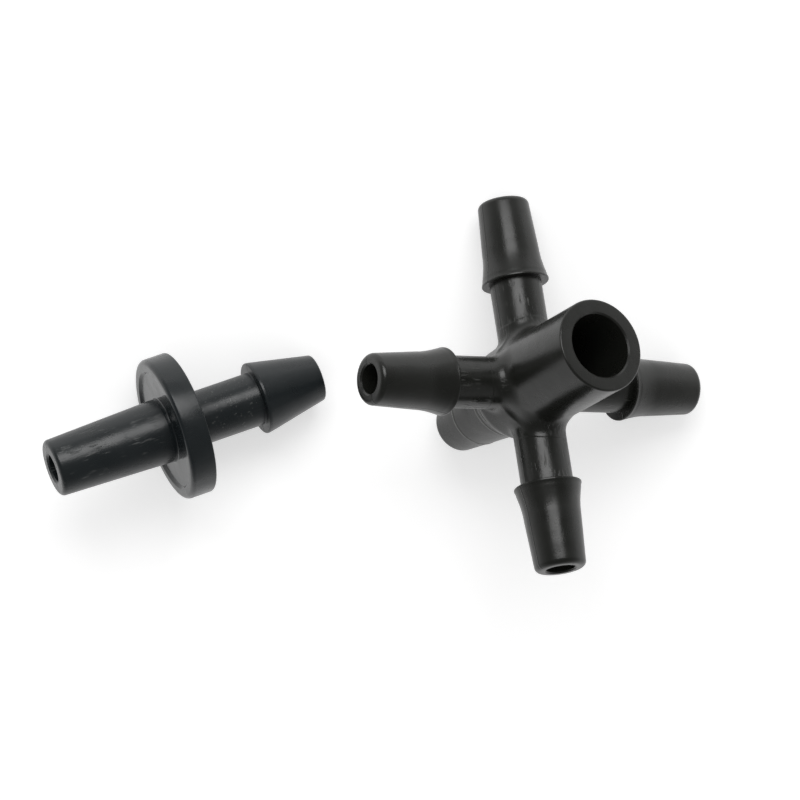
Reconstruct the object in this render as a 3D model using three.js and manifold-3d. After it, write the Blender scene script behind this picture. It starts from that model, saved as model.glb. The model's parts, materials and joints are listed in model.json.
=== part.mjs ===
// Micro-irrigation four-way manifold with its flanged inlet adapter, lying loose beside it.
// Two mouldings. The manifold has four barbed legs in one plane, a round socket square to
// them and a blind tapered stub opposite the socket. The adapter has a tapered plug that
// wedges into that socket, a flange, a neck and a barb for the supply hose.
// Millimetres, +Z up. Both pieces lie on the plane z = 0.

import * as THREE from "three";
import { mergeVertices } from "three/addons/utils/BufferGeometryUtils.js";
import Module from "manifold-3d";

const wasm = await Module();
wasm.setup();

// ---------------------------------------------------------------- manifold, driving sizes

const LEG_REACH = 15; // centre of the hub to the end of a barbed leg
const LEG_BORE_RADIUS = 1.15;
const NECK_RADIUS = 2.05; // the plain length between the hub and the barb
const BARB_LENGTH = 6.76; // from the step of the barb to the end of the leg
const BARB_RISE = 0.6; // height of the step over the neck
const BARB_LAND = 0.15; // short straight rim behind the step
const BARB_EDGE = 0.07; // fillet on both edges of that rim
const FLARE_LENGTH = 2.35; // the hollow flare ahead of the rim
const WAIST_RISE = 0.2; // where the flare ends, over the neck
const TIP_DROP = 0.05; // the end of the leg, under the neck
const TIP_FILLET = 0.45;

const SOCKET_REACH = 9.8; // centre of the hub to the mouth of the socket
const SOCKET_WALL = 1.05; // at the mouth
const MOUTH_CHAMFER = 0.1; // lead-in on the inner edge of the mouth
const MOUTH_EDGE = 0.12; // fillet on the outer edge of the mouth
const HUB_DROP = 3; // centre of the hub to its shoulder, on the stub's side
const HUB_FLOOR = 1.6; // centre of the hub to the floor of the water chamber
const ROOT_FILLET = 0.8; // where legs and stub grow out of the hub

const STUB_REACH = 11; // centre of the hub to the end of the stub
const STUB_END_RADIUS = 2.05;
const STUB_TAPER = 0.13; // growth of the radius for each millimetre towards the hub
const STUB_EDGE = 0.4; // fillet at the end of the stub

// ---------------------------------------------------------------- adapter, driving sizes

const PLUG_LENGTH = 9.4;
const PLUG_BASE_RADIUS = 2.6; // next to the flange
const PLUG_END_RADIUS = 2.28;
const PLUG_EDGE = 0.35;
const PLUG_STANDOFF = 1.2; // the flange stays this far off the mouth when the plug wedges
const FLANGE_RADIUS = 5.75;
const FLANGE_THICKNESS = 2.1;
const FLANGE_PLUG_EDGE = 0.35; // fillet on the rim, plug side
const FLANGE_BARB_EDGE = 0.12; // fillet on the rim, barb side
const RING_INSET = 0.9; // rim of the flange to the shallow recess in its plug side
const RING_DEPTH = 0.2;
const INLET_NECK_LENGTH = 5.8;
const INLET_NECK_RADIUS = 2.15;
const INLET_BARB_LENGTH = 5.35;
const INLET_BARB_RISE = 0.75;
const INLET_BARB_LAND = 0.25;
const INLET_BARB_EDGE = 0.12;
const INLET_END_DROP = 0.3; // the end of the barb, under the neck
const INLET_END_EDGE = 0.2;
const INLET_BORE_RADIUS = 1.1;
const INLET_BORE_FLARE = 0.15; // the bore opens by this much at each end

// ---------------------------------------------------------------- layout on the table

const SOCKET_HEADING = 44.2; // degrees, from +X towards +Y, of the raised socket
const ADAPTER_HEADING = 14.5; // degrees, of the adapter from plug to barb
const ADAPTER_OFFSET = [-27.8, -4.1]; // flange centre from the hub centre, seen from above

// ---------------------------------------------------------------- mesh fineness

const ROUND_SEGMENTS = 40;
const HUB_SEGMENTS = 56;
const ARC_STEP = THREE.MathUtils.degToRad(20);

// ---------------------------------------------------------------- derived sizes

const barbRadius = NECK_RADIUS + BARB_RISE;
const waistRadius = NECK_RADIUS + WAIST_RISE;
const legEndRadius = NECK_RADIUS - TIP_DROP;
const plugTaper = (PLUG_BASE_RADIUS - PLUG_END_RADIUS) / PLUG_LENGTH;
const socketRadius = PLUG_BASE_RADIUS - plugTaper * PLUG_STANDOFF;
const hubRadius = socketRadius + MOUTH_CHAMFER + SOCKET_WALL;
const socketDepth = PLUG_LENGTH - PLUG_STANDOFF;
const socketFloorRadius = socketRadius - plugTaper * socketDepth;
const chamberRadius = socketFloorRadius - 0.3;
const stubRootRadius = STUB_END_RADIUS + STUB_TAPER * (STUB_REACH - HUB_DROP);
const inletBarbRadius = INLET_NECK_RADIUS + INLET_BARB_RISE;
const inletEndRadius = INLET_NECK_RADIUS - INLET_END_DROP;
const flangeBarbFace = FLANGE_THICKNESS / 2;
const inletEnd = flangeBarbFace + INLET_NECK_LENGTH + INLET_BARB_LENGTH;
const plugEnd = -FLANGE_THICKNESS / 2 - PLUG_LENGTH;
const ringRadius = FLANGE_RADIUS - RING_INSET;

// ---------------------------------------------------------------- outlines and solids

// One corner of an outline: distance from the axis, height along it and a fillet radius.
function corner(radius, height, fillet = 0) {
  return { at: new THREE.Vector2(radius, height), fillet };
}

// The points of a fillet of that radius between the sides that meet at a corner.
function filletPoints(before, here, after) {
  const toBefore = before.at.clone().sub(here.at).normalize();
  const toAfter = after.at.clone().sub(here.at).normalize();
  const half = Math.acos(THREE.MathUtils.clamp(toBefore.dot(toAfter), -1, 1)) / 2;
  const centre = toBefore.clone().add(toAfter).normalize();
  centre.multiplyScalar(here.fillet / Math.sin(half)).add(here.at);
  const start = toBefore.clone().multiplyScalar(here.fillet / Math.tan(half)).add(here.at);
  const spoke = start.sub(centre);
  const turn = (Math.PI - 2 * half) * Math.sign(toBefore.cross(toAfter));
  const steps = Math.max(1, Math.ceil(Math.abs(turn) / ARC_STEP));
  const origin = new THREE.Vector2();
  const points = [];
  for (let step = 0; step <= steps; step += 1) {
    const angle = -turn * (step / steps);
    points.push(spoke.clone().rotateAround(origin, angle).add(centre));
  }
  return points;
}

// An outline through the corners, with their fillets.
function outline(corners) {
  const points = [];
  corners.forEach((here, index) => {
    const ends = index === 0 || index === corners.length - 1;
    if (ends || here.fillet === 0) {
      points.push(here.at.clone());
    } else {
      points.push(...filletPoints(corners[index - 1], here, corners[index + 1]));
    }
  });
  return points;
}

// A turned solid about +Z from an outline that runs upwards from the axis to the axis.
function turned(corners, segments) {
  const lathe = new THREE.LatheGeometry(outline(corners), segments);
  lathe.rotateX(Math.PI / 2);
  return lathe;
}

// A plain cone or cylinder about +Z, for cutting bores.
function boreCutter(bottom, bottomRadius, top, topRadius, segments) {
  const corners = [
    corner(0, bottom),
    corner(bottomRadius, bottom),
    corner(topRadius, top),
    corner(0, top),
  ];
  return turned(corners, segments);
}

function toManifold(geometry) {
  const bare = geometry.clone();
  bare.deleteAttribute("normal");
  bare.deleteAttribute("uv");
  const merged = mergeVertices(bare, 1e-5);
  const mesh = new wasm.Mesh({
    numProp: 3,
    vertProperties: new Float32Array(merged.attributes.position.array),
    triVerts: new Uint32Array(merged.index.array),
  });
  return new wasm.Manifold(mesh);
}

function toGeometry(manifold) {
  const mesh = manifold.getMesh();
  const geometry = new THREE.BufferGeometry();
  const positions = new THREE.BufferAttribute(mesh.vertProperties, 3);
  geometry.setAttribute("position", positions);
  geometry.setIndex(new THREE.BufferAttribute(mesh.triVerts, 1));
  geometry.computeVertexNormals();
  return geometry;
}

function union(geometries) {
  return geometries.map(toManifold).reduce((whole, piece) => whole.add(piece));
}

// ---------------------------------------------------------------- the manifold

// One barbed leg about +Z, from inside the hub to its end.
function barbedLeg() {
  const step = LEG_REACH - BARB_LENGTH;
  const rootStart = hubRadius - ROOT_FILLET;
  const flareStart = step + BARB_LAND;
  const waist = flareStart + FLARE_LENGTH;
  const flareBend = flareStart + FLARE_LENGTH * 0.4;
  const flareBendRadius = waistRadius + (barbRadius - waistRadius) * 0.25;
  return turned(
    [
      corner(0, 0),
      corner(NECK_RADIUS + ROOT_FILLET, 0),
      corner(NECK_RADIUS + ROOT_FILLET, rootStart),
      corner(NECK_RADIUS, hubRadius + ROOT_FILLET / 2, ROOT_FILLET),
      corner(NECK_RADIUS, step),
      corner(barbRadius, step, BARB_EDGE),
      corner(barbRadius, flareStart, BARB_EDGE),
      corner(flareBendRadius, flareBend, FLARE_LENGTH),
      corner(waistRadius, waist),
      corner(legEndRadius, LEG_REACH, TIP_FILLET),
      corner(0, LEG_REACH),
    ],
    ROUND_SEGMENTS,
  );
}

// The hub and its socket in one tube, with the stub's shoulder below.
function hub() {
  return turned(
    [
      corner(0, -HUB_DROP),
      corner(hubRadius, -HUB_DROP, ROOT_FILLET),
      corner(hubRadius, SOCKET_REACH, MOUTH_EDGE),
      corner(0, SOCKET_REACH),
    ],
    HUB_SEGMENTS,
  );
}

// The blind stub, a cone with a rounded end.
function stub() {
  return turned(
    [
      corner(0, -STUB_REACH),
      corner(STUB_END_RADIUS, -STUB_REACH, STUB_EDGE),
      corner(stubRootRadius, -HUB_DROP - ROOT_FILLET, ROOT_FILLET),
      corner(stubRootRadius + ROOT_FILLET, -HUB_DROP + ROOT_FILLET),
      corner(0, -HUB_DROP + ROOT_FILLET),
    ],
    ROUND_SEGMENTS,
  );
}

// The tapered socket with its lead-in, and the water chamber below it.
function socketBore() {
  const floor = SOCKET_REACH - socketDepth;
  const leadIn = SOCKET_REACH - MOUTH_CHAMFER;
  return turned(
    [
      corner(0, -HUB_FLOOR),
      corner(chamberRadius, -HUB_FLOOR),
      corner(chamberRadius, floor),
      corner(socketFloorRadius, floor),
      corner(socketRadius, leadIn),
      corner(socketRadius + 2 * MOUTH_CHAMFER, SOCKET_REACH + MOUTH_CHAMFER),
      corner(0, SOCKET_REACH + MOUTH_CHAMFER),
    ],
    HUB_SEGMENTS,
  );
}

// Turns a solid about +Z to point outwards in the leg plane, at that quarter turn.
function toLeg(geometry, quarter) {
  geometry.rotateY(Math.PI / 2);
  geometry.rotateZ((quarter * Math.PI) / 2);
  return geometry;
}

function manifoldGeometry() {
  const quarters = [0, 1, 2, 3];
  const legs = quarters.map((quarter) => toLeg(barbedLeg(), quarter));
  const bores = quarters.map((quarter) => {
    const end = LEG_REACH + 1;
    const bore = boreCutter(0, LEG_BORE_RADIUS, end, LEG_BORE_RADIUS, ROUND_SEGMENTS);
    return toLeg(bore, quarter);
  });
  const outside = union([hub(), stub(), ...legs]);
  const inside = union([socketBore(), ...bores]);
  return toGeometry(outside.subtract(inside));
}

// ---------------------------------------------------------------- the adapter

// The whole adapter about +Z with the flange centred on 0: one closed outline, up the
// outside from the end of the plug and down the bore.
function adapterGeometry() {
  const plugSide = -FLANGE_THICKNESS / 2;
  const step = flangeBarbFace + INLET_NECK_LENGTH;
  const boreEnd = INLET_BORE_RADIUS + INLET_BORE_FLARE;
  return turned(
    [
      corner(boreEnd, plugEnd),
      corner(PLUG_END_RADIUS, plugEnd, PLUG_EDGE),
      corner(PLUG_BASE_RADIUS, plugSide + RING_DEPTH),
      corner(ringRadius - RING_DEPTH, plugSide + RING_DEPTH),
      corner(ringRadius, plugSide),
      corner(FLANGE_RADIUS, plugSide, FLANGE_PLUG_EDGE),
      corner(FLANGE_RADIUS, flangeBarbFace, FLANGE_BARB_EDGE),
      corner(INLET_NECK_RADIUS, flangeBarbFace),
      corner(INLET_NECK_RADIUS, step),
      corner(inletBarbRadius, step, INLET_BARB_EDGE),
      corner(inletBarbRadius, step + INLET_BARB_LAND, INLET_BARB_EDGE),
      corner(inletEndRadius, inletEnd, INLET_END_EDGE),
      corner(boreEnd, inletEnd),
      corner(INLET_BORE_RADIUS, inletEnd - INLET_BORE_FLARE),
      corner(INLET_BORE_RADIUS, plugEnd + INLET_BORE_FLARE),
      corner(boreEnd, plugEnd),
    ],
    HUB_SEGMENTS,
  );
}

// ---------------------------------------------------------------- how the pieces lie

// How far a round rim with a rounded edge reaches along a direction that makes that
// cosine with the axis: the rim's radius, its end along the axis and its edge fillet.
function rimReach(radius, end, edge, cosine) {
  const sine = Math.sqrt(1 - cosine * cosine);
  return (end - edge) * cosine + (radius - edge) * sine + edge;
}

// The manifold lies on the ends of two neighbouring legs and of the stub. The down
// direction has one cosine to both legs; this finds it by halving.
function lyingLegCosine() {
  let low = 0.2;
  let high = 0.7;
  for (let turn = 0; turn < 60; turn += 1) {
    const middle = (low + high) / 2;
    const stubCosine = Math.sqrt(1 - 2 * middle * middle);
    const legReach = rimReach(legEndRadius, LEG_REACH, TIP_FILLET, middle);
    const stubReach = rimReach(STUB_END_RADIUS, STUB_REACH, STUB_EDGE, stubCosine);
    if (legReach < stubReach) {
      low = middle;
    } else {
      high = middle;
    }
  }
  return (low + high) / 2;
}

// Lays the manifold on its three rims, the raised socket pointing along its heading.
function layManifold(mesh) {
  const legCosine = lyingLegCosine();
  const stubCosine = Math.sqrt(1 - 2 * legCosine * legCosine);
  const up = new THREE.Vector3(-legCosine, -legCosine, stubCosine);
  const socket = new THREE.Vector3(0, 0, 1);
  const forward = socket.clone().addScaledVector(up, -stubCosine).normalize();
  const side = up.clone().cross(forward);
  const lying = new THREE.Matrix4().makeBasis(forward, side, up).transpose();
  mesh.quaternion.setFromRotationMatrix(lying);
  const place = new THREE.Group();
  place.rotation.z = THREE.MathUtils.degToRad(SOCKET_HEADING);
  place.position.z = rimReach(legEndRadius, LEG_REACH, TIP_FILLET, legCosine);
  place.add(mesh);
  return place;
}

// Lays the adapter on the rim of its flange and the end of its barb: the common tangent
// of the two edge fillets is the table.
function layAdapter(mesh) {
  const drop = FLANGE_RADIUS - FLANGE_BARB_EDGE - (inletEndRadius - INLET_END_EDGE);
  const along = inletEnd - INLET_END_EDGE - (flangeBarbFace - FLANGE_BARB_EDGE);
  const lean = Math.asin((INLET_END_EDGE - FLANGE_BARB_EDGE) / Math.hypot(drop, along));
  const dip = Math.atan2(drop, along) - lean;
  const rest = rimReach(FLANGE_RADIUS, flangeBarbFace, FLANGE_BARB_EDGE, Math.sin(dip));
  mesh.rotation.y = Math.PI / 2 + dip;
  const place = new THREE.Group();
  place.rotation.z = THREE.MathUtils.degToRad(ADAPTER_HEADING);
  place.position.set(...ADAPTER_OFFSET, rest);
  place.add(mesh);
  return place;
}

// ---------------------------------------------------------------- the scene

function plastic(color, roughness) {
  return new THREE.MeshStandardMaterial({ color, roughness, metalness: 0 });
}

function piece(name, geometry, material) {
  const mesh = new THREE.Mesh(geometry, material);
  mesh.name = name;
  return mesh;
}

// Moves the group so that the middle of the bottom of its box is the origin.
function centreOnBase(group) {
  group.updateMatrixWorld(true);
  const box = new THREE.Box3().setFromObject(group, true);
  const middle = box.getCenter(new THREE.Vector3());
  group.position.set(-middle.x, -middle.y, -box.min.z);
}

const group = new THREE.Group();
const black = plastic(0x1f2020, 0.5);
const coolBlack = plastic(0x1d1f20, 0.45);
group.add(layManifold(piece("manifold_body", manifoldGeometry(), black)));
group.add(layAdapter(piece("inlet_adapter", adapterGeometry(), coolBlack)));
centreOnBase(group);

export default group;
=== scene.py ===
"""Looks of a barbed micro-irrigation manifold and its loose inlet adapter, on a pale floor.

Two injection mouldings in black plastic. The manifold is one blended body: a socket tube,
four legs and a blind stub that flow into each other in soft fillets, four turned barbs and
the bores. The adapter is a turned body with a plug, a flange, a neck and a barb.
Lengths are millimetres in each piece's own frame and become metres when it is placed.
"""

import json
import math
from types import SimpleNamespace

import bmesh
import bpy
import numpy as np
from mathutils import Matrix, Vector


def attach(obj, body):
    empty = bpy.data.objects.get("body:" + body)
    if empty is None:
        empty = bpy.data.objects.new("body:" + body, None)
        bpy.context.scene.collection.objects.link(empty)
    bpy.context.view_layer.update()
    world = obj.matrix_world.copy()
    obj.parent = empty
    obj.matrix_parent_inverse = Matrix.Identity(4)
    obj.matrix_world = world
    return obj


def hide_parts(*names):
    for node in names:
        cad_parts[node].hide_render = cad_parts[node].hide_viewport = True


bl_info = {
    "name": "Barbed Micro-Irrigation Manifold",
    "version": (1, 0, 0),
    "blender": (4, 5, 0),
    "location": "View3D > Sidebar > Manifold",
    "description": "Builds a four-leg barbed hose manifold, its inlet adapter and a studio",
    "category": "Object",
}

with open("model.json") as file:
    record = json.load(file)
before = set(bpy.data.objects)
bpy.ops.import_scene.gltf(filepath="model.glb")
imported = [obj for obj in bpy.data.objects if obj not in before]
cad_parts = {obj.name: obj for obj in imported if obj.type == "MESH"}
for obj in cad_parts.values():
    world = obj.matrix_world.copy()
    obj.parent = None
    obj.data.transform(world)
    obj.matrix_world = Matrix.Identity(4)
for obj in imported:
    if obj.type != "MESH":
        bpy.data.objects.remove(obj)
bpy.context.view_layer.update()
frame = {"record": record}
MM = 0.001
OWN_PLACE = "own_millimetres"
CREASE = math.radians(38)

# The mounts sit on rings, this far out from the axis of the leg and of the flange.
LEG_MOUNT_OUT = 1.35
FLANGE_MOUNT_OUT = 4.0

# Where two hairs of flash run round the blind stub, from the hub's centre. The material paints
# a highlight along each.
WITNESSES = (-7.7, -4.05)


# ------------------------------------------------------------------ places, from the frame

MOUNTS = {mount["name"]: mount for mount in frame["record"]["mounts"]}


def mount_point(name):
    """Where a mount is, in millimetres in the row frame."""
    return Vector(MOUNTS[name]["pos_m"]) / MM


def mount_axis(name):
    return Vector(MOUNTS[name]["axis"]).normalized()


def placed(centre, x_axis, z_axis):
    """The matrix from a piece's own millimetres to the row frame's metres."""
    turn = Matrix((x_axis, z_axis.cross(x_axis), z_axis)).transposed().to_4x4()
    return Matrix.Translation(centre * MM) @ turn @ Matrix.Scale(MM, 4)


def manifold_place():
    """The hub's centre, with +X along the first leg and +Z up the socket."""
    socket = mount_axis("socket_mouth")
    middle = (mount_point("leg_1_end") + mount_point("leg_3_end")) / 2
    return placed(middle - socket * LEG_MOUNT_OUT, mount_axis("leg_1_end"), socket)


def adapter_place():
    """The middle of the flange's barb face, with +Z towards the barb."""
    axis = mount_axis("supply_barb_end")
    on_flange = mount_point("flange_barb_face")
    across = on_flange - mount_point("supply_barb_end")
    side = (across - axis * across.dot(axis)).normalized()
    return placed(on_flange - side * FLANGE_MOUNT_OUT, side, axis)


LEG_REACH = (mount_point("leg_1_end") - mount_point("leg_3_end")).length / 2
SOCKET_REACH = (
    (mount_point("socket_mouth") - mount_point("leg_1_end")).dot(mount_axis("socket_mouth"))
    + LEG_MOUNT_OUT
)
INLET_REACH = (mount_point("supply_barb_end") - mount_point("flange_barb_face")).dot(
    mount_axis("supply_barb_end")
)
FLANGE_THICKNESS = (mount_point("flange_barb_face") - mount_point("flange_plug_face")).dot(
    mount_axis("supply_barb_end")
)
PLUG_REACH = (mount_point("flange_barb_face") - mount_point("plug_end")).dot(
    mount_axis("supply_barb_end")
)


# ------------------------------------------------------------------ what a user may change


def length(name, description, millimetres):
    """A length, which the panel shows in the scene's own unit."""
    return bpy.props.FloatProperty(
        name=name,
        description=description,
        default=millimetres * MM,
        min=0.01 * MM,
        precision=5,
        unit="LENGTH",
    )


def taper(name, description, default):
    """A change of radius, as a share of the length that it takes."""
    return bpy.props.FloatProperty(
        name=name, description=description, default=default, min=0, max=1, subtype="FACTOR"
    )


def in_millimetres(group):
    """The sizes of a property group as plain numbers, with every length in millimetres."""
    sizes = {}
    for name in type(group).__annotations__:
        is_length = group.bl_rna.properties[name].unit == "LENGTH"
        sizes[name] = getattr(group, name) / (MM if is_length else 1)
    return SimpleNamespace(**sizes)


def hex_colour(code):
    """An sRGB hex colour as linear red, green and blue."""
    shares = [int(code[place : place + 2], 16) / 255 for place in (1, 3, 5)]
    return [s / 12.92 if s <= 0.04045 else ((s + 0.055) / 1.055) ** 2.4 for s in shares]


def colour(name, description, code):
    return bpy.props.FloatVectorProperty(
        name=name,
        description=description,
        default=hex_colour(code),
        size=3,
        min=0,
        max=1,
        subtype="COLOR",
    )


class ManifoldSizes(bpy.types.PropertyGroup):
    neck_radius: length("Neck radius", "Plain length between hub and barb", 2.05)
    leg_bore_radius: length("Leg bore radius", "Water bore of each leg", 1.15)
    barb_length: length("Barb length", "Step of the barb to the end of the leg", 6.76)
    barb_radius: length("Barb radius", "At the step", 2.65)
    barb_land: length("Barb land", "Straight rim behind the step", 0.15)
    barb_edge: length("Barb edge", "Fillet on both edges of the rim", 0.07)
    flare_length: length("Flare length", "Hollow flare ahead of the rim", 2.35)
    waist_radius: length("Waist radius", "Where the flare ends", 2.25)
    leg_end_radius: length("Leg end radius", "Before its fillet", 2.0)
    leg_end_fillet: length("Leg end fillet", "Rounded end of the leg", 0.45)
    hub_radius: length("Hub radius", "Outside of socket and hub", 3.709)
    hub_drop: length("Hub drop", "Centre to the shoulder on the stub's side", 3.0)
    socket_radius: length("Socket radius", "Bore at the mouth", 2.559)
    socket_taper: taper("Socket taper", "Radius lost with depth", 0.034)
    socket_depth: length("Socket depth", "Mouth to the step above the chamber", 8.2)
    root_blend: length("Root blend", "How softly legs and stub grow out of the hub", 0.95)
    stub_reach: length("Stub reach", "Centre to the end of the blind stub", 11.0)
    stub_end_radius: length("Stub end radius", "Before its fillet", 2.05)
    stub_taper: taper("Stub taper", "Radius gained towards the hub", 0.13)


class AdapterSizes(bpy.types.PropertyGroup):
    plug_base_radius: length("Plug base radius", "Next to the flange", 2.6)
    plug_end_radius: length("Plug end radius", "Before its fillet", 2.28)
    flange_radius: length("Flange radius", "Outside of the flange", 5.75)
    ring_inset: length("Ring inset", "Flange rim to the recess in its plug side", 0.9)
    ring_depth: length("Ring depth", "Depth of that recess", 0.2)
    neck_radius: length("Neck radius", "Between flange and barb", 2.15)
    neck_length: length("Neck length", "Flange to the step of the barb", 5.8)
    barb_radius: length("Barb radius", "At the step", 2.9)
    barb_land: length("Barb land", "Straight rim behind the step", 0.25)
    end_radius: length("End radius", "Of the barb, before its fillet", 1.85)
    bore_radius: length("Bore radius", "Water bore", 1.1)
    bore_flare: length("Bore flare", "How much the bore opens at its ends", 0.15)


class Finish(bpy.types.PropertyGroup):
    manifold_black: colour("Manifold black", "Moulded plastic of the manifold", "#1b1c19")
    adapter_black: colour("Adapter black", "Moulded plastic of the adapter", "#1d2224")
    # This grey paints the rubbed scuffs, and also painted highlights: the pale flash rings
    # round the manifold's stub and the scuffs along the adapter's plug near its flange.
    scuff_and_highlight_grey: colour("Scuff grey", "Plastic whitened by rubbing", "#777875")
    floor_white: colour("Floor white", "Studio floor", "#ececec")


# ------------------------------------------------------------------ outlines and meshes


def rounded(corners, arc_step=math.radians(9)):
    """The points of an outline through (radius, height, fillet) corners."""
    points = []
    for index, (radius, height, fillet) in enumerate(corners):
        here = Vector((radius, height))
        if not fillet or index in (0, len(corners) - 1):
            points.append(here)
            continue
        back = (Vector(corners[index - 1][:2]) - here).normalized()
        ahead = (Vector(corners[index + 1][:2]) - here).normalized()
        half = back.angle(ahead) / 2
        centre = here + (back + ahead).normalized() * (fillet / math.sin(half))
        spoke = here + back * (fillet / math.tan(half)) - centre
        turn = (math.pi - 2 * half) * math.copysign(1, back.cross(ahead))
        steps = max(1, math.ceil(abs(turn) / arc_step))
        for step in range(steps + 1):
            points.append(centre + Matrix.Rotation(-turn * step / steps, 2) @ spoke)
    return points


def turned(name, points, segments, closed=False):
    """A solid turned about +Z from an outline that runs up its outside.

    An open outline starts and ends on the axis; a closed one comes back down the inside.
    """
    angles = np.linspace(0, 2 * math.pi, segments, endpoint=False)
    vertices = []
    rings = []
    for point in points:
        count = 1 if point.x < 1e-6 else segments
        rings.append([len(vertices) + place for place in range(count)])
        around = angles[:count]
        vertices += [(point.x * math.cos(a), point.x * math.sin(a), point.y) for a in around]
    pairs = list(zip(rings, rings[1:]))
    if closed:
        pairs.append((rings[-1], rings[0]))
    faces = []
    for lower, upper in pairs:
        for place in range(segments):
            after = (place + 1) % segments
            ring = [lower[place % len(lower)], lower[after % len(lower)]]
            ring += [upper[after % len(upper)], upper[place % len(upper)]]
            face = list(dict.fromkeys(ring))
            if len(face) > 2:
                faces.append(face)
    mesh = bpy.data.meshes.new(name)
    mesh.from_pydata(vertices, [], faces)
    mesh.update()
    return mesh


def linked(name, mesh):
    made = bpy.data.objects.new(name, mesh)
    bpy.context.scene.collection.objects.link(made)
    return made


def joined(name, meshes):
    """One mesh that holds several."""
    vertices = []
    faces = []
    for mesh in meshes:
        start = len(vertices)
        vertices += [tuple(vertex.co) for vertex in mesh.vertices]
        faces += [[start + index for index in face.vertices] for face in mesh.polygons]
    whole = bpy.data.meshes.new(name)
    whole.from_pydata(vertices, [], faces)
    whole.update()
    return whole


def evaluated(made):
    """A mesh with an object's modifiers applied, and the object gone."""
    depsgraph = bpy.context.evaluated_depsgraph_get()
    mesh = bpy.data.meshes.new_from_object(made.evaluated_get(depsgraph))
    bpy.data.objects.remove(made)
    return mesh


def combined(mesh, other, operation):
    """The union or difference of two closed meshes."""
    base = linked("base", mesh)
    tool = linked("tool", other)
    boolean = base.modifiers.new("boolean", "BOOLEAN")
    boolean.operation = operation
    boolean.object = tool
    boolean.solver = "MANIFOLD"
    result = evaluated(base)
    bpy.data.objects.remove(tool)
    if not result.polygons:
        raise RuntimeError("a boolean of the manifold came out empty")
    return result


def remeshed(mesh, voxel):
    """A closed skin of even quads, voxel millimetres wide, round everything in a mesh."""
    made = linked("skin", mesh)
    remesh = made.modifiers.new("remesh", "REMESH")
    remesh.mode = "VOXEL"
    remesh.voxel_size = voxel
    return evaluated(made)


def cleaned(mesh, nearest=0.002):
    """A mesh without the slivers that booleans leave; corners nearer than nearest are one.

    A sliver that folds flat leaves two faces back to back, and those go too.
    """
    work = bmesh.new()
    work.from_mesh(mesh)
    bmesh.ops.remove_doubles(work, verts=work.verts, dist=nearest)
    bmesh.ops.triangulate(work, faces=work.faces)
    bmesh.ops.dissolve_degenerate(work, edges=work.edges, dist=nearest)
    alike = {}
    for face in work.faces:
        alike.setdefault(frozenset(face.verts), []).append(face)
    flaps = [face for faces in alike.values() if len(faces) > 1 for face in faces]
    bmesh.ops.delete(work, geom=flaps, context="FACES")
    work.to_mesh(mesh)
    work.free()
    return mesh


def leg_turn(quarter):
    """Turns a piece that points up so that it points out along one of the four legs."""
    return Matrix.Rotation(quarter * math.pi / 2, 4, "Z") @ Matrix.Rotation(math.pi / 2, 4, "Y")


def finished(name, mesh, place, material, carried):
    """Places a finished mesh, smooth but for its creases, as a piece on its body.

    Each vertex keeps its place in the piece's own frame, for the material's patterns.
    carried names the body it rides on, the node it stands for and that node's finish slot,
    which is not used.
    """
    body, node, slot = carried
    own = np.empty(len(mesh.vertices) * 3)
    mesh.vertices.foreach_get("co", own)
    kept = mesh.attributes.new(OWN_PLACE, "FLOAT_VECTOR", "POINT")
    kept.data.foreach_set("vector", own)
    mesh.transform(place)
    piece = linked(name, mesh)
    mesh.polygons.foreach_set("use_smooth", [True] * len(mesh.polygons))
    mesh.set_sharp_from_angle(angle=CREASE)
    mesh.materials.clear()
    mesh.materials.append(material)
    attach(piece, body)
    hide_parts(node)
    return piece


# ------------------------------------------------------------------ the manifold's body

# Millimetres: what is hidden, or too small to be worth a setting of its own.
NECK_OVERLAP = 0.8  # how far a neck runs on inside its barb
TUBE_SPARE = 3.0  # tube above the mouth, until it is trimmed
HUB_EDGE = 0.8
NECK_EDGE = 0.01
STUB_EDGE = 0.4
MOUTH_EDGE = 0.16
LEAD_IN = 0.12  # broken edge of the socket and of every leg's bore
CUT_PAST = 0.2  # how far a bore's cutter goes past the end of its leg
CHAMBER_STEP = 0.3  # step of the socket's floor round the water chamber
CHAMBER_DROP = 1.6  # water chamber below the hub's centre
CHAMBER_FILLET = 0.3
FLASH_PROUD = 0.035
FLASH_CREST = 0.05  # half the width of a witness ring's crest
FLASH_FOOT = 0.2  # half the width of its foot
FLASH_DEPTH = 0.05  # how deep the foot lies in the stub

# Shares of the root blend that the legs take, on the hub and up the tube.
TIGHT_ROOT = 0.5
WIDE_ROOT = 1.3

# Segments round the bars that are only remeshed, the small bores, and all that shows.
ROUGH_ROUND = 64
BORE_ROUND = 72
FINE_ROUND = 144


def neck_end(sizes):
    """How far from the hub's centre a neck ends, inside its barb."""
    return LEG_REACH - sizes.barb_length + NECK_OVERLAP


def smooth_union(first, second, blend):
    """Two distance fields joined with a fillet."""
    overlap = np.maximum(blend - np.abs(first - second), 0) / blend
    return np.minimum(first, second) - overlap * overlap * blend / 4


def round_bar(radius, start, end, edge, out, along):
    """Distance to a round bar with filleted ends."""
    across = out - (radius - edge)
    beyond = np.abs(along - (start + end) / 2) - ((end - start) / 2 - edge)
    outside = np.hypot(np.maximum(across, 0), np.maximum(beyond, 0))
    return outside + np.minimum(np.maximum(across, beyond), 0) - edge


def stub_cone(sizes, out, along):
    """Distance to the tapered stub that points along -Z."""
    slope = math.atan(sizes.stub_taper)
    side = out - sizes.stub_end_radius - (along + sizes.stub_reach) * sizes.stub_taper
    across = side * math.cos(slope) + STUB_EDGE
    beyond = -sizes.stub_reach - along + STUB_EDGE
    outside = np.hypot(np.maximum(across, 0), np.maximum(beyond, 0))
    capped = outside + np.minimum(np.maximum(across, beyond), 0) - STUB_EDGE
    return np.maximum(capped, along)


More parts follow.
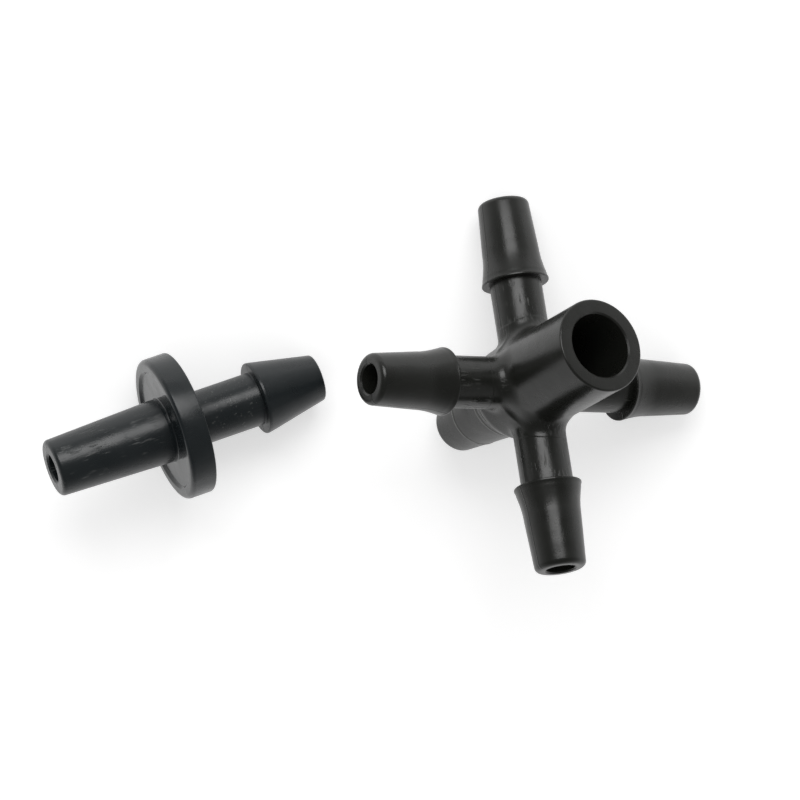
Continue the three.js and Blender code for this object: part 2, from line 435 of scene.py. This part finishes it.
def body_distance(sizes, points):
    """Distance from points to the skin of the body, bores and barbs left out.

    The legs meet the hub in tight fillets, and the tube above them in wider ones.
    """
    x, y, z = points.T
    out = np.hypot(x, y)
    top = SOCKET_REACH + TUBE_SPARE
    hub = round_bar(sizes.hub_radius, -sizes.hub_drop, top, HUB_EDGE, out, z)
    end = neck_end(sizes)
    across = round_bar(sizes.neck_radius, -end, end, NECK_EDGE, np.hypot(y, z), x)
    upright = round_bar(sizes.neck_radius, -end, end, NECK_EDGE, np.hypot(x, z), y)
    legs = np.minimum(across, upright)
    whole = smooth_union(hub, stub_cone(sizes, out, z), sizes.root_blend)
    up_tube = np.clip(z / sizes.neck_radius, 0, 1)
    widening = up_tube * up_tube * (3 - 2 * up_tube)
    blend = sizes.root_blend * (TIGHT_ROOT + (WIDE_ROOT - TIGHT_ROOT) * widening)
    return smooth_union(whole, legs, blend)


def settled(sizes, points, rounds=4):
    """Points moved along the field's slope until they lie on the skin."""
    step = 1e-3
    for _ in range(rounds):
        height = body_distance(sizes, points)
        slopes = []
        for axis in range(3):
            shift = np.zeros(3)
            shift[axis] = step
            ahead = body_distance(sizes, points + shift)
            behind = body_distance(sizes, points - shift)
            slopes.append((ahead - behind) / (2 * step))
        slope = np.stack(slopes, axis=1)
        steepness = np.maximum((slope * slope).sum(axis=1, keepdims=True), 0.25)
        points = points - slope * (height[:, None] / steepness)
    return points


def rough_body(sizes):
    """The bars that the body is made of, overlapping, before they are blended."""
    top = SOCKET_REACH + TUBE_SPARE
    hub = [(0, -sizes.hub_drop, 0), (sizes.hub_radius, -sizes.hub_drop, 0)]
    hub += [(sizes.hub_radius, top, 0), (0, top, 0)]
    end = neck_end(sizes)
    neck = [(0, 0, 0), (sizes.neck_radius, 0, 0), (sizes.neck_radius, end, 0), (0, end, 0)]
    root = sizes.stub_end_radius + sizes.stub_taper * sizes.stub_reach
    stub = [(0, -sizes.stub_reach, 0), (sizes.stub_end_radius, -sizes.stub_reach, 0)]
    stub += [(root, 0, 0), (0, 0, 0)]
    bars = [turned("hub", rounded(hub), ROUGH_ROUND)]
    bars.append(turned("stub", rounded(stub), ROUGH_ROUND))
    for quarter in range(4):
        bar = turned("neck", rounded(neck), ROUGH_ROUND)
        bar.transform(leg_turn(quarter))
        bars.append(bar)
    return joined("rough", bars)


def blended_body(sizes, voxel):
    """The body's skin, with every root filleted."""
    skin = remeshed(rough_body(sizes), voxel)
    points = np.empty(len(skin.vertices) * 3)
    skin.vertices.foreach_get("co", points)
    points = settled(sizes, points.reshape(-1, 3))
    skin.vertices.foreach_set("co", points.ravel())
    skin.update()
    return skin


def leg_barb(sizes):
    """A barb from its step to the end of the leg, with a hollow flare behind the waist."""
    step = LEG_REACH - sizes.barb_length
    flare_start = step + sizes.barb_land
    rise = sizes.barb_radius - sizes.waist_radius
    outline = rounded(
        [
            (0, step, 0),
            (sizes.barb_radius, step, sizes.barb_edge),
            (sizes.barb_radius, flare_start, sizes.barb_edge),
            (sizes.barb_radius - 0.2 * rise, flare_start + 0.08 * sizes.flare_length, 0),
        ]
    )
    for share in np.linspace(0.15, 1, 12):
        radius = sizes.waist_radius + rise * (1 - share) ** 1.7
        outline.append(Vector((radius, flare_start + share * sizes.flare_length)))
    waist = outline[-1]
    end = rounded(
        [
            (waist.x, waist.y, 0),
            (sizes.leg_end_radius, LEG_REACH, sizes.leg_end_fillet),
            (0, LEG_REACH, 0),
        ]
    )
    return turned("barb", outline + end[1:], FINE_ROUND)


def leg_bore(sizes):
    """A leg's water bore with a broken edge at its mouth."""
    radius = sizes.leg_bore_radius
    top = LEG_REACH + CUT_PAST
    corners = [(0, 0, 0), (radius, 0, 0), (radius, LEG_REACH - LEAD_IN, 0)]
    corners += [(radius + LEAD_IN, LEG_REACH, 0), (radius + LEAD_IN + CUT_PAST, top, 0)]
    return turned("bore", rounded(corners + [(0, top, 0)]), BORE_ROUND)


def socket_bore(sizes):
    """The taper socket with its lead-in, and the water chamber below it."""
    floor = SOCKET_REACH - sizes.socket_depth
    floor_radius = sizes.socket_radius - sizes.socket_taper * sizes.socket_depth
    chamber = floor_radius - CHAMBER_STEP
    corners = [
        (0, -CHAMBER_DROP, 0),
        (chamber, -CHAMBER_DROP, CHAMBER_FILLET),
        (chamber, floor, 0),
        (floor_radius, floor, 0),
        (sizes.socket_radius, SOCKET_REACH - LEAD_IN, 0),
        (sizes.socket_radius + 2 * LEAD_IN, SOCKET_REACH + LEAD_IN, 0),
        (0, SOCKET_REACH + LEAD_IN, 0),
    ]
    return turned("socket", rounded(corners), FINE_ROUND)


def mouth_trim(sizes):
    """What is cut off the tube to leave a flat mouth with a rounded outer edge."""
    foot = SOCKET_REACH - MOUTH_EDGE
    outside = sizes.hub_radius + 2
    top = SOCKET_REACH + TUBE_SPARE + 2
    corners = [(0, SOCKET_REACH, 0), (sizes.hub_radius, SOCKET_REACH, MOUTH_EDGE)]
    corners += [(sizes.hub_radius, foot, 0), (outside, foot, 0), (outside, top, 0), (0, top, 0)]
    return turned("trim", rounded(corners), FINE_ROUND)


def witness_ring(sizes, height):
    """A hair of flash round the stub where two mould inserts met."""
    radius = sizes.stub_end_radius + sizes.stub_taper * (sizes.stub_reach + height)
    inside = radius - FLASH_DEPTH
    crest = radius + FLASH_PROUD
    corners = [(inside, height - FLASH_FOOT, 0), (crest, height - FLASH_CREST, 0)]
    corners += [(crest, height + FLASH_CREST, 0), (inside, height + FLASH_FOOT, 0)]
    return turned("ring", rounded(corners), FINE_ROUND, closed=True)


def manifold_mesh(sizes, voxel=0.11):
    """The whole manifold as one closed skin."""
    whole = blended_body(sizes, voxel)
    for quarter in range(4):
        barb = leg_barb(sizes)
        barb.transform(leg_turn(quarter))
        whole = combined(whole, barb, "UNION")
    for height in WITNESSES:
        whole = combined(whole, witness_ring(sizes, height), "UNION")
    whole = combined(whole, mouth_trim(sizes), "DIFFERENCE")
    whole = combined(whole, socket_bore(sizes), "DIFFERENCE")
    for quarter in range(4):
        bore = leg_bore(sizes)
        bore.transform(leg_turn(quarter))
        whole = combined(whole, bore, "DIFFERENCE")
    return cleaned(whole)


# ------------------------------------------------------------------ the adapter's body

# Fillets in millimetres, from the plug's end to the barb's.
PLUG_TIP = 0.35
PLUG_ROOT = 0.1
RECESS_EDGE = 0.05
RIM_PLUG_SIDE = 0.38
RIM_BARB_SIDE = 0.12
NECK_ROOT = 0.2
STEP_FOOT = 0.06
BARB_RIM = 0.12
BARB_TIP = 0.2

ADAPTER_ROUND = 192  # segments


def adapter_mesh(sizes):
    """The adapter about +Z, its flange's barb face at 0, as one closed turned skin."""
    plug_side = -FLANGE_THICKNESS
    plug_end = -PLUG_REACH
    step = sizes.neck_length
    ring = sizes.flange_radius - sizes.ring_inset
    bore_end = sizes.bore_radius + sizes.bore_flare
    corners = [
        (bore_end, plug_end, 0),
        (sizes.plug_end_radius, plug_end, PLUG_TIP),
        (sizes.plug_base_radius, plug_side + sizes.ring_depth, PLUG_ROOT),
        (ring - sizes.ring_depth, plug_side + sizes.ring_depth, RECESS_EDGE),
        (ring, plug_side, RECESS_EDGE),
        (sizes.flange_radius, plug_side, RIM_PLUG_SIDE),
        (sizes.flange_radius, 0, RIM_BARB_SIDE),
        (sizes.neck_radius, 0, NECK_ROOT),
        (sizes.neck_radius, step, STEP_FOOT),
        (sizes.barb_radius, step, BARB_RIM),
        (sizes.barb_radius, step + sizes.barb_land, BARB_RIM),
        (sizes.end_radius, INLET_REACH, BARB_TIP),
        (bore_end, INLET_REACH, 0),
        (sizes.bore_radius, INLET_REACH - sizes.bore_flare, 0),
        (sizes.bore_radius, plug_end + sizes.bore_flare, 0),
    ]
    return turned("inlet_adapter", rounded(corners), ADAPTER_ROUND, closed=True)


# ------------------------------------------------------------------ materials

# Sizes of the plastic's patterns in millimetres. The mould's grain is really about 0.03 and a
# scratch about 0.02 wide: too fine to show, so both are drawn as coarse as they need to be.
FLOW_WAVE = 2.2
MOULD_GRAIN = 0.14
SCRATCH = 0.16
RUBBED_PATCH = 1.3
SPECK = 0.22
RELIEF = 0.04
STRETCH = 0.15  # the pattern's scale along a scratch, which makes it about 7 times as long

# Noise values from which a pattern begins to show, and at which it is full.
STREAKS = (0.54, 0.74)
PATCHES = (0.46, 0.6)
SPECKS = (0.66, 0.72)

POLYPROPYLENE_IOR = 1.49

# Roughness of the satin skin, and how much smoother the mould's polished face leaves it.
SATIN = (0.24, 0.33)
POLISH = 0.16

# Places of the marks in millimetres, out from the hub's centre on the manifold and along
# the axis on the adapter, and half the width of the flash, full and faded.
RUBBED_NECKS = (4.2, 8.0)
FLASH_BEGINS = (4.6, 5.2)
COLLAR = (4.9, 5.02)
# Along the plug the scuffs reach up to the flange, where they also paint the plug's highlight.
RUBBED_AND_HIGHLIT_PLUG = (-3.2, -2.2)
PITTED_NECK = (0.8, 5.2)
POLISHED_FACE = (-FLANGE_THICKNESS - 0.1, -FLANGE_THICKNESS + 0.22)
FLASH_WIDTH = (0.02, 0.07)


def add_node(tree, kind, inputs=None, **settings):
    """Adds a node with its settings; an input is a value, or a socket to link from."""
    made = tree.nodes.new(kind)
    for name, value in settings.items():
        setattr(made, name, value)
    for name, value in (inputs or {}).items():
        if isinstance(value, bpy.types.NodeSocket):
            tree.links.new(value, made.inputs[name])
        else:
            made.inputs[name].default_value = value
    return made


def fresh_material(name):
    made = bpy.data.materials.new(name)
    made.use_nodes = True
    made.node_tree.nodes.clear()
    return made


def maths(tree, operation, *values):
    inputs = dict(enumerate(values))
    return add_node(tree, "ShaderNodeMath", inputs, operation=operation).outputs[0]


def grain(tree, place, size, detail=2.0):
    """Noise whose blotches measure about size millimetres."""
    noise = {"Vector": place, "Scale": 1 / size, "Detail": detail}
    return add_node(tree, "ShaderNodeTexNoise", noise).outputs[0]


def ramped(tree, value, low, high, start=0.0, end=1.0):
    """A value mapped from low..high to start..end, and clamped."""
    limits = {0: value, 1: low, 2: high, 3: start, 4: end}
    return add_node(tree, "ShaderNodeMapRange", limits).outputs[0]


def blended_colour(tree, share, first, second):
    """One colour mixed into another by a share."""
    sides = {0: share, 6: first, 7: second}
    return add_node(tree, "ShaderNodeMix", sides, data_type="RGBA").outputs[2]


def band(tree, value, start, end, soft):
    """One between start and end, falling to nought over soft millimetres outside."""
    rise = ramped(tree, value, start - soft, start)
    fall = ramped(tree, value, end, end + soft, 1.0, 0.0)
    return maths(tree, "MULTIPLY", rise, fall)


def own_place(tree):
    """Where the surface is in the piece's own millimetres."""
    return add_node(tree, "ShaderNodeAttribute", attribute_name=OWN_PLACE).outputs["Vector"]


def own_axes(tree):
    """The same as x, y and z."""
    return add_node(tree, "ShaderNodeSeparateXYZ", {"Vector": own_place(tree)}).outputs


def moulded_polypropylene(name, black, scuff_and_highlight, details):
    """Injection-moulded polypropylene, black with carbon against sunlight.

    Near-black under a satin skin that takes up its surroundings: pale table, dark
    neighbours. The melt's flow leaves slow waves in that sheen, the mould's fine grain
    softens it, and rubbing leaves thin paler scuffs. The same pale grey also paints
    highlights: it whitens the two flash rings round the manifold's stub, and the scuffs
    along the adapter's plug brighten its highlight near the flange. details gives those
    marks for a piece: where rubbing and the plug's painted highlight show, flash, pale,
    polished, and the way that scratches run along.
    """
    made = fresh_material(name)
    tree = made.node_tree
    place = own_place(tree)
    marks = details(tree)
    slow = grain(tree, place, FLOW_WAVE)
    fine = grain(tree, place, MOULD_GRAIN, 3.0)
    streaks = ramped(tree, grain(tree, marks["along"], SCRATCH, 3.0), *STREAKS)
    patches = ramped(tree, grain(tree, place, RUBBED_PATCH, 1.0), *PATCHES)
    # Rubbed scuffs, in patches; along the adapter's plug they also paint its highlight.
    rubbed_and_highlit = maths(tree, "MULTIPLY", marks["rubbed_and_highlit"], patches)
    worn_and_highlit = maths(tree, "MULTIPLY", streaks, rubbed_and_highlit)
    # The pale share: scuffs plus each piece's pale marks. On the manifold those marks are
    # painted highlights on the stub's flash rings; on the adapter they are pits on its neck.
    pale = maths(tree, "MULTIPLY_ADD", worn_and_highlit, 0.25, marks["pale"])
    dark = [0.75 * part for part in black]
    body = blended_colour(tree, slow, (*dark, 1), (*black, 1))
    shown = blended_colour(tree, pale, body, (*scuff_and_highlight, 1))
    sheen = ramped(tree, slow, 0.3, 0.7, *SATIN)
    rough = maths(tree, "MULTIPLY_ADD", marks["polished"], -POLISH, sheen)
    rough = maths(tree, "MULTIPLY_ADD", worn_and_highlit, 0.25, rough)
    height = maths(tree, "MULTIPLY_ADD", fine, 0.16, slow)
    height = maths(tree, "MULTIPLY_ADD", marks["flash"], 0.6, height)
    height = maths(tree, "MULTIPLY_ADD", worn_and_highlit, 0.5, height)
    relief = {"Height": height, "Strength": 1.0, "Distance": RELIEF * MM}
    bump = add_node(tree, "ShaderNodeBump", relief)
    shader = {"Base Color": shown, "Roughness": rough, "Normal": bump.outputs[0]}
    shader["IOR"] = POLYPROPYLENE_IOR
    surface = add_node(tree, "ShaderNodeBsdfPrincipled", shader)
    add_node(tree, "ShaderNodeOutputMaterial", {"Surface": surface.outputs[0]})
    return made


def manifold_details(tree):
    """Rubbed on the necks; flash along the legs and round the stub where the mould parts.
    The flash rings round the stub are painted pale: a painted highlight.

    A faint collar ends each leg's root, where the hub's insert met the leg's.
    """
    axes = own_axes(tree)
    sides = [maths(tree, "ABSOLUTE", axis) for axis in axes]
    squares = [maths(tree, "MULTIPLY", side, side) for side in sides[:2]]
    out = maths(tree, "SQRT", maths(tree, "ADD", *squares))
    across = maths(tree, "MINIMUM", sides[0], sides[1])
    stretched = maths(tree, "MULTIPLY", out, STRETCH)
    along = add_node(tree, "ShaderNodeCombineXYZ", {0: stretched, 1: across, 2: axes[2]})
    necks = band(tree, out, *RUBBED_NECKS, 0.5)
    on_legs = ramped(tree, out, *FLASH_BEGINS)
    joint = ramped(tree, sides[2], *FLASH_WIDTH, 1, 0)
    collar = ramped(tree, out, *COLLAR, 0.9, 0)
    # Pale bands on the two flash rings round the stub: painted highlight, where their ridges
    # would catch the light.
    rings = [band(tree, axes[2], height - 0.07, height + 0.07, 0.06) for height in WITNESSES]
    return {
        "rubbed_and_highlit": ramped(tree, necks, 0, 1, 0.1, 1.0),
        "flash": maths(tree, "MULTIPLY_ADD", joint, on_legs, collar),
        "pale": maths(tree, "MULTIPLY", maths(tree, "ADD", *rings), 0.6),
        "polished": 0.0,
        "along": along.outputs[0],
    }


def adapter_details(tree):
    """Rubbed along the plug, which also paints a highlight there near the flange; pits on the
    neck; flash along the sides where the mould parts.
    """
    axes = own_axes(tree)
    stretched = maths(tree, "MULTIPLY", axes[2], STRETCH)
    along = add_node(tree, "ShaderNodeCombineXYZ", {0: axes[0], 1: axes[1], 2: stretched})
    specks = ramped(tree, grain(tree, own_place(tree), SPECK, 1.0), *SPECKS)
    on_neck = band(tree, axes[2], *PITTED_NECK, 0.3)
    flange_face = band(tree, axes[2], *POLISHED_FACE, 0.02)
    joint = ramped(tree, maths(tree, "ABSOLUTE", axes[1]), *FLASH_WIDTH, 1, 0)
    return {
        # Scuffs along the whole plug, fading only in its last millimetre at the flange; near
        # the flange they also paint the plug's highlight.
        "rubbed_and_highlit": ramped(tree, axes[2], *RUBBED_AND_HIGHLIT_PLUG, 1.0, 0.1),
        "flash": maths(tree, "SUBTRACT", joint, maths(tree, "MULTIPLY", joint, flange_face)),
        "pale": maths(tree, "MULTIPLY", maths(tree, "MULTIPLY", specks, on_neck), 0.25),
        "polished": flange_face,
        "along": along.outputs[0],
    }


def studio_paper(name, white):
    """Matt white paper sweep: pale and even, it shows only soft shadows.

    What the eye and the mirrors see of it is lifted to white; the light it gives isn't.
    """
    made = fresh_material(name)
    tree = made.node_tree
    paper = {"Base Color": (*white, 1), "Roughness": 1.0}
    surface = add_node(tree, "ShaderNodeBsdfPrincipled", paper)
    lift = seen(tree, as_light=0.0, by_camera=0.42, by_mirrors=0.3)
    glow = add_node(tree, "ShaderNodeEmission", {"Strength": lift})
    both = add_node(tree, "ShaderNodeAddShader", {0: surface.outputs[0], 1: glow.outputs[0]})
    add_node(tree, "ShaderNodeOutputMaterial", {"Surface": both.outputs[0]})
    return made


def seen(tree, as_light, by_camera, by_mirrors):
    """One value for the light a surface gives, one for the camera, one for reflections."""
    path = add_node(tree, "ShaderNodeLightPath").outputs
    mirrors = maths(tree, "MAXIMUM", path["Is Glossy Ray"], path["Is Transmission Ray"])
    gain = maths(tree, "SUBTRACT", by_mirrors, as_light)
    value = maths(tree, "MULTIPLY_ADD", mirrors, gain, as_light)
    return maths(tree, "MULTIPLY_ADD", path["Is Camera Ray"], by_camera - as_light, value)


# ------------------------------------------------------------------ the stage


def facing(back, roll=0.0):
    """The turn of a camera or lamp that looks against back, rolled anticlockwise."""
    right = Vector((0, 0, 1)).cross(back).normalized()
    above = back.cross(right)
    side = right * math.cos(roll) + above * math.sin(roll)
    return Matrix((side, back.cross(side), back)).transposed().to_4x4()


def direction(azimuth, elevation):
    """The way from the object to a viewer; azimuth 0 stands on -Y and looks along +Y."""
    turn = math.radians(azimuth)
    rise = math.radians(elevation)
    flat = math.cos(rise)
    return Vector((math.sin(turn) * flat, -math.cos(turn) * flat, math.sin(rise)))


def add_camera(azimuth, elevation, roll, distance, aim, lens):
    """A camera that looks at aim; degrees, and millimetres in the row frame."""
    data = bpy.data.cameras.new("camera")
    data.lens = lens
    data.clip_start = 0.01
    data.clip_end = 20
    camera = linked("camera", data)
    back = direction(azimuth, elevation)
    turn = facing(back, math.radians(roll))
    camera.matrix_world = Matrix.Translation((aim + back * distance) * MM) @ turn
    bpy.context.scene.camera = camera
    return camera


def add_softbox(name, azimuth, elevation, distance, width, height, watts):
    """A flat lamp that looks at the origin; degrees and millimetres."""
    data = bpy.data.lights.new(name, "AREA")
    data.shape = "RECTANGLE"
    data.size = width * MM
    data.size_y = height * MM
    data.energy = watts
    lamp = linked(name, data)
    back = direction(azimuth, elevation)
    lamp.matrix_world = Matrix.Translation(back * distance * MM) @ facing(back)
    return lamp


def add_floor(material):
    """The floor, a hair below the object so that the two don't flicker where they touch."""
    half = 1500 * MM
    corners = [(-half, -half, 0), (half, -half, 0), (half, half, 0), (-half, half, 0)]
    mesh = bpy.data.meshes.new("floor")
    mesh.from_pydata(corners, [], [(0, 1, 2, 3)])
    mesh.materials.append(material)
    floor = linked("floor", mesh)
    floor.location.z = -0.02 * MM
    return floor


def add_world():
    """A white tent: soft light from all round, seen white, and dimmer overhead in mirrors."""
    world = bpy.data.worlds.new("tent")
    world.use_nodes = True
    tree = world.node_tree
    tree.nodes.clear()
    way = add_node(tree, "ShaderNodeTexCoord").outputs["Generated"]
    height = add_node(tree, "ShaderNodeSeparateXYZ", {"Vector": way}).outputs[2]
    overhead = ramped(tree, height, 0.0, 0.6, 0.82, 0.14)
    strength = seen(tree, as_light=0.7, by_camera=1.0, by_mirrors=overhead)
    tent = add_node(tree, "ShaderNodeBackground", {"Strength": strength})
    add_node(tree, "ShaderNodeOutputWorld", {"Surface": tent.outputs[0]})
    bpy.context.scene.world = world


# ------------------------------------------------------------------ operators and panel


class BuildManifold(bpy.types.Operator):
    """Build the four-leg manifold with its socket, barbs, bores and blind stub"""

    bl_idname = "irrigation.build_manifold"
    bl_label = "Manifold"

    def execute(self, context):
        sizes = context.scene.manifold_sizes
        finish = context.scene.moulding_finish
        plastic = moulded_polypropylene(
            "black_polypropylene",
            finish.manifold_black,
            finish.scuff_and_highlight_grey,
            manifold_details,
        )
        mesh = manifold_mesh(in_millimetres(sizes))
        finished(
            "manifold_moulding",
            mesh,
            manifold_place(),
            plastic,
            ("manifold", "manifold_body", "black_plastic"),
        )
        return {"FINISHED"}


class BuildAdapter(bpy.types.Operator):
    """Build the flanged inlet adapter with its plug, neck and barb"""

    bl_idname = "irrigation.build_adapter"
    bl_label = "Inlet adapter"

    def execute(self, context):
        sizes = context.scene.adapter_sizes
        finish = context.scene.moulding_finish
        plastic = moulded_polypropylene(
            "cool_black_polypropylene",
            finish.adapter_black,
            finish.scuff_and_highlight_grey,
            adapter_details,
        )
        mesh = adapter_mesh(in_millimetres(sizes))
        finished(
            "adapter_moulding",
            mesh,
            adapter_place(),
            plastic,
            ("adapter", "inlet_adapter", "cool_black_plastic"),
        )
        return {"FINISHED"}


class BuildStage(bpy.types.Operator):
    """Build the pale floor, the white tent, the key softbox and the camera"""

    bl_idname = "irrigation.build_stage"
    bl_label = "Stage"

    def execute(self, context):
        paper = studio_paper("white_studio_paper", context.scene.moulding_finish.floor_white)
        add_floor(paper)
        add_world()
        add_softbox(
            "key", azimuth=180, elevation=44, distance=420, width=300, height=220, watts=0.9
        )
        add_camera(
            azimuth=-175.22,
            elevation=75.56,
            roll=175.08,
            distance=413.9,
            aim=Vector((2.04, -1.49, 8)),
            lens=238.6,
        )
        context.scene.view_settings.view_transform = "Standard"
        return {"FINISHED"}


class ManifoldPanel(bpy.types.Panel):
    """Buttons and sizes for the manifold and its adapter"""

    bl_idname = "VIEW3D_PT_irrigation_manifold"
    bl_label = "Irrigation Manifold"
    bl_space_type = "VIEW_3D"
    bl_region_type = "UI"
    bl_category = "Manifold"

    def draw(self, context):
        scene = context.scene
        for operator in OPERATORS:
            self.layout.operator(operator.bl_idname)
        for group in (scene.manifold_sizes, scene.adapter_sizes, scene.moulding_finish):
            column = self.layout.column(align=True)
            for name in type(group).__annotations__:
                column.prop(group, name)


OPERATORS = (BuildManifold, BuildAdapter, BuildStage)
GROUPS = {
    "manifold_sizes": ManifoldSizes,
    "adapter_sizes": AdapterSizes,
    "moulding_finish": Finish,
}


def register():
    for made in (*GROUPS.values(), *OPERATORS, ManifoldPanel):
        bpy.utils.register_class(made)
    for name, group in GROUPS.items():
        setattr(bpy.types.Scene, name, bpy.props.PointerProperty(type=group))


def unregister():
    for name in GROUPS:
        delattr(bpy.types.Scene, name)
    for made in reversed((*GROUPS.values(), *OPERATORS, ManifoldPanel)):
        bpy.utils.unregister_class(made)


def main():
    register()
    bpy.ops.irrigation.build_manifold()
    bpy.ops.irrigation.build_adapter()
    bpy.ops.irrigation.build_stage()


if __name__ == "__main__":
    main()
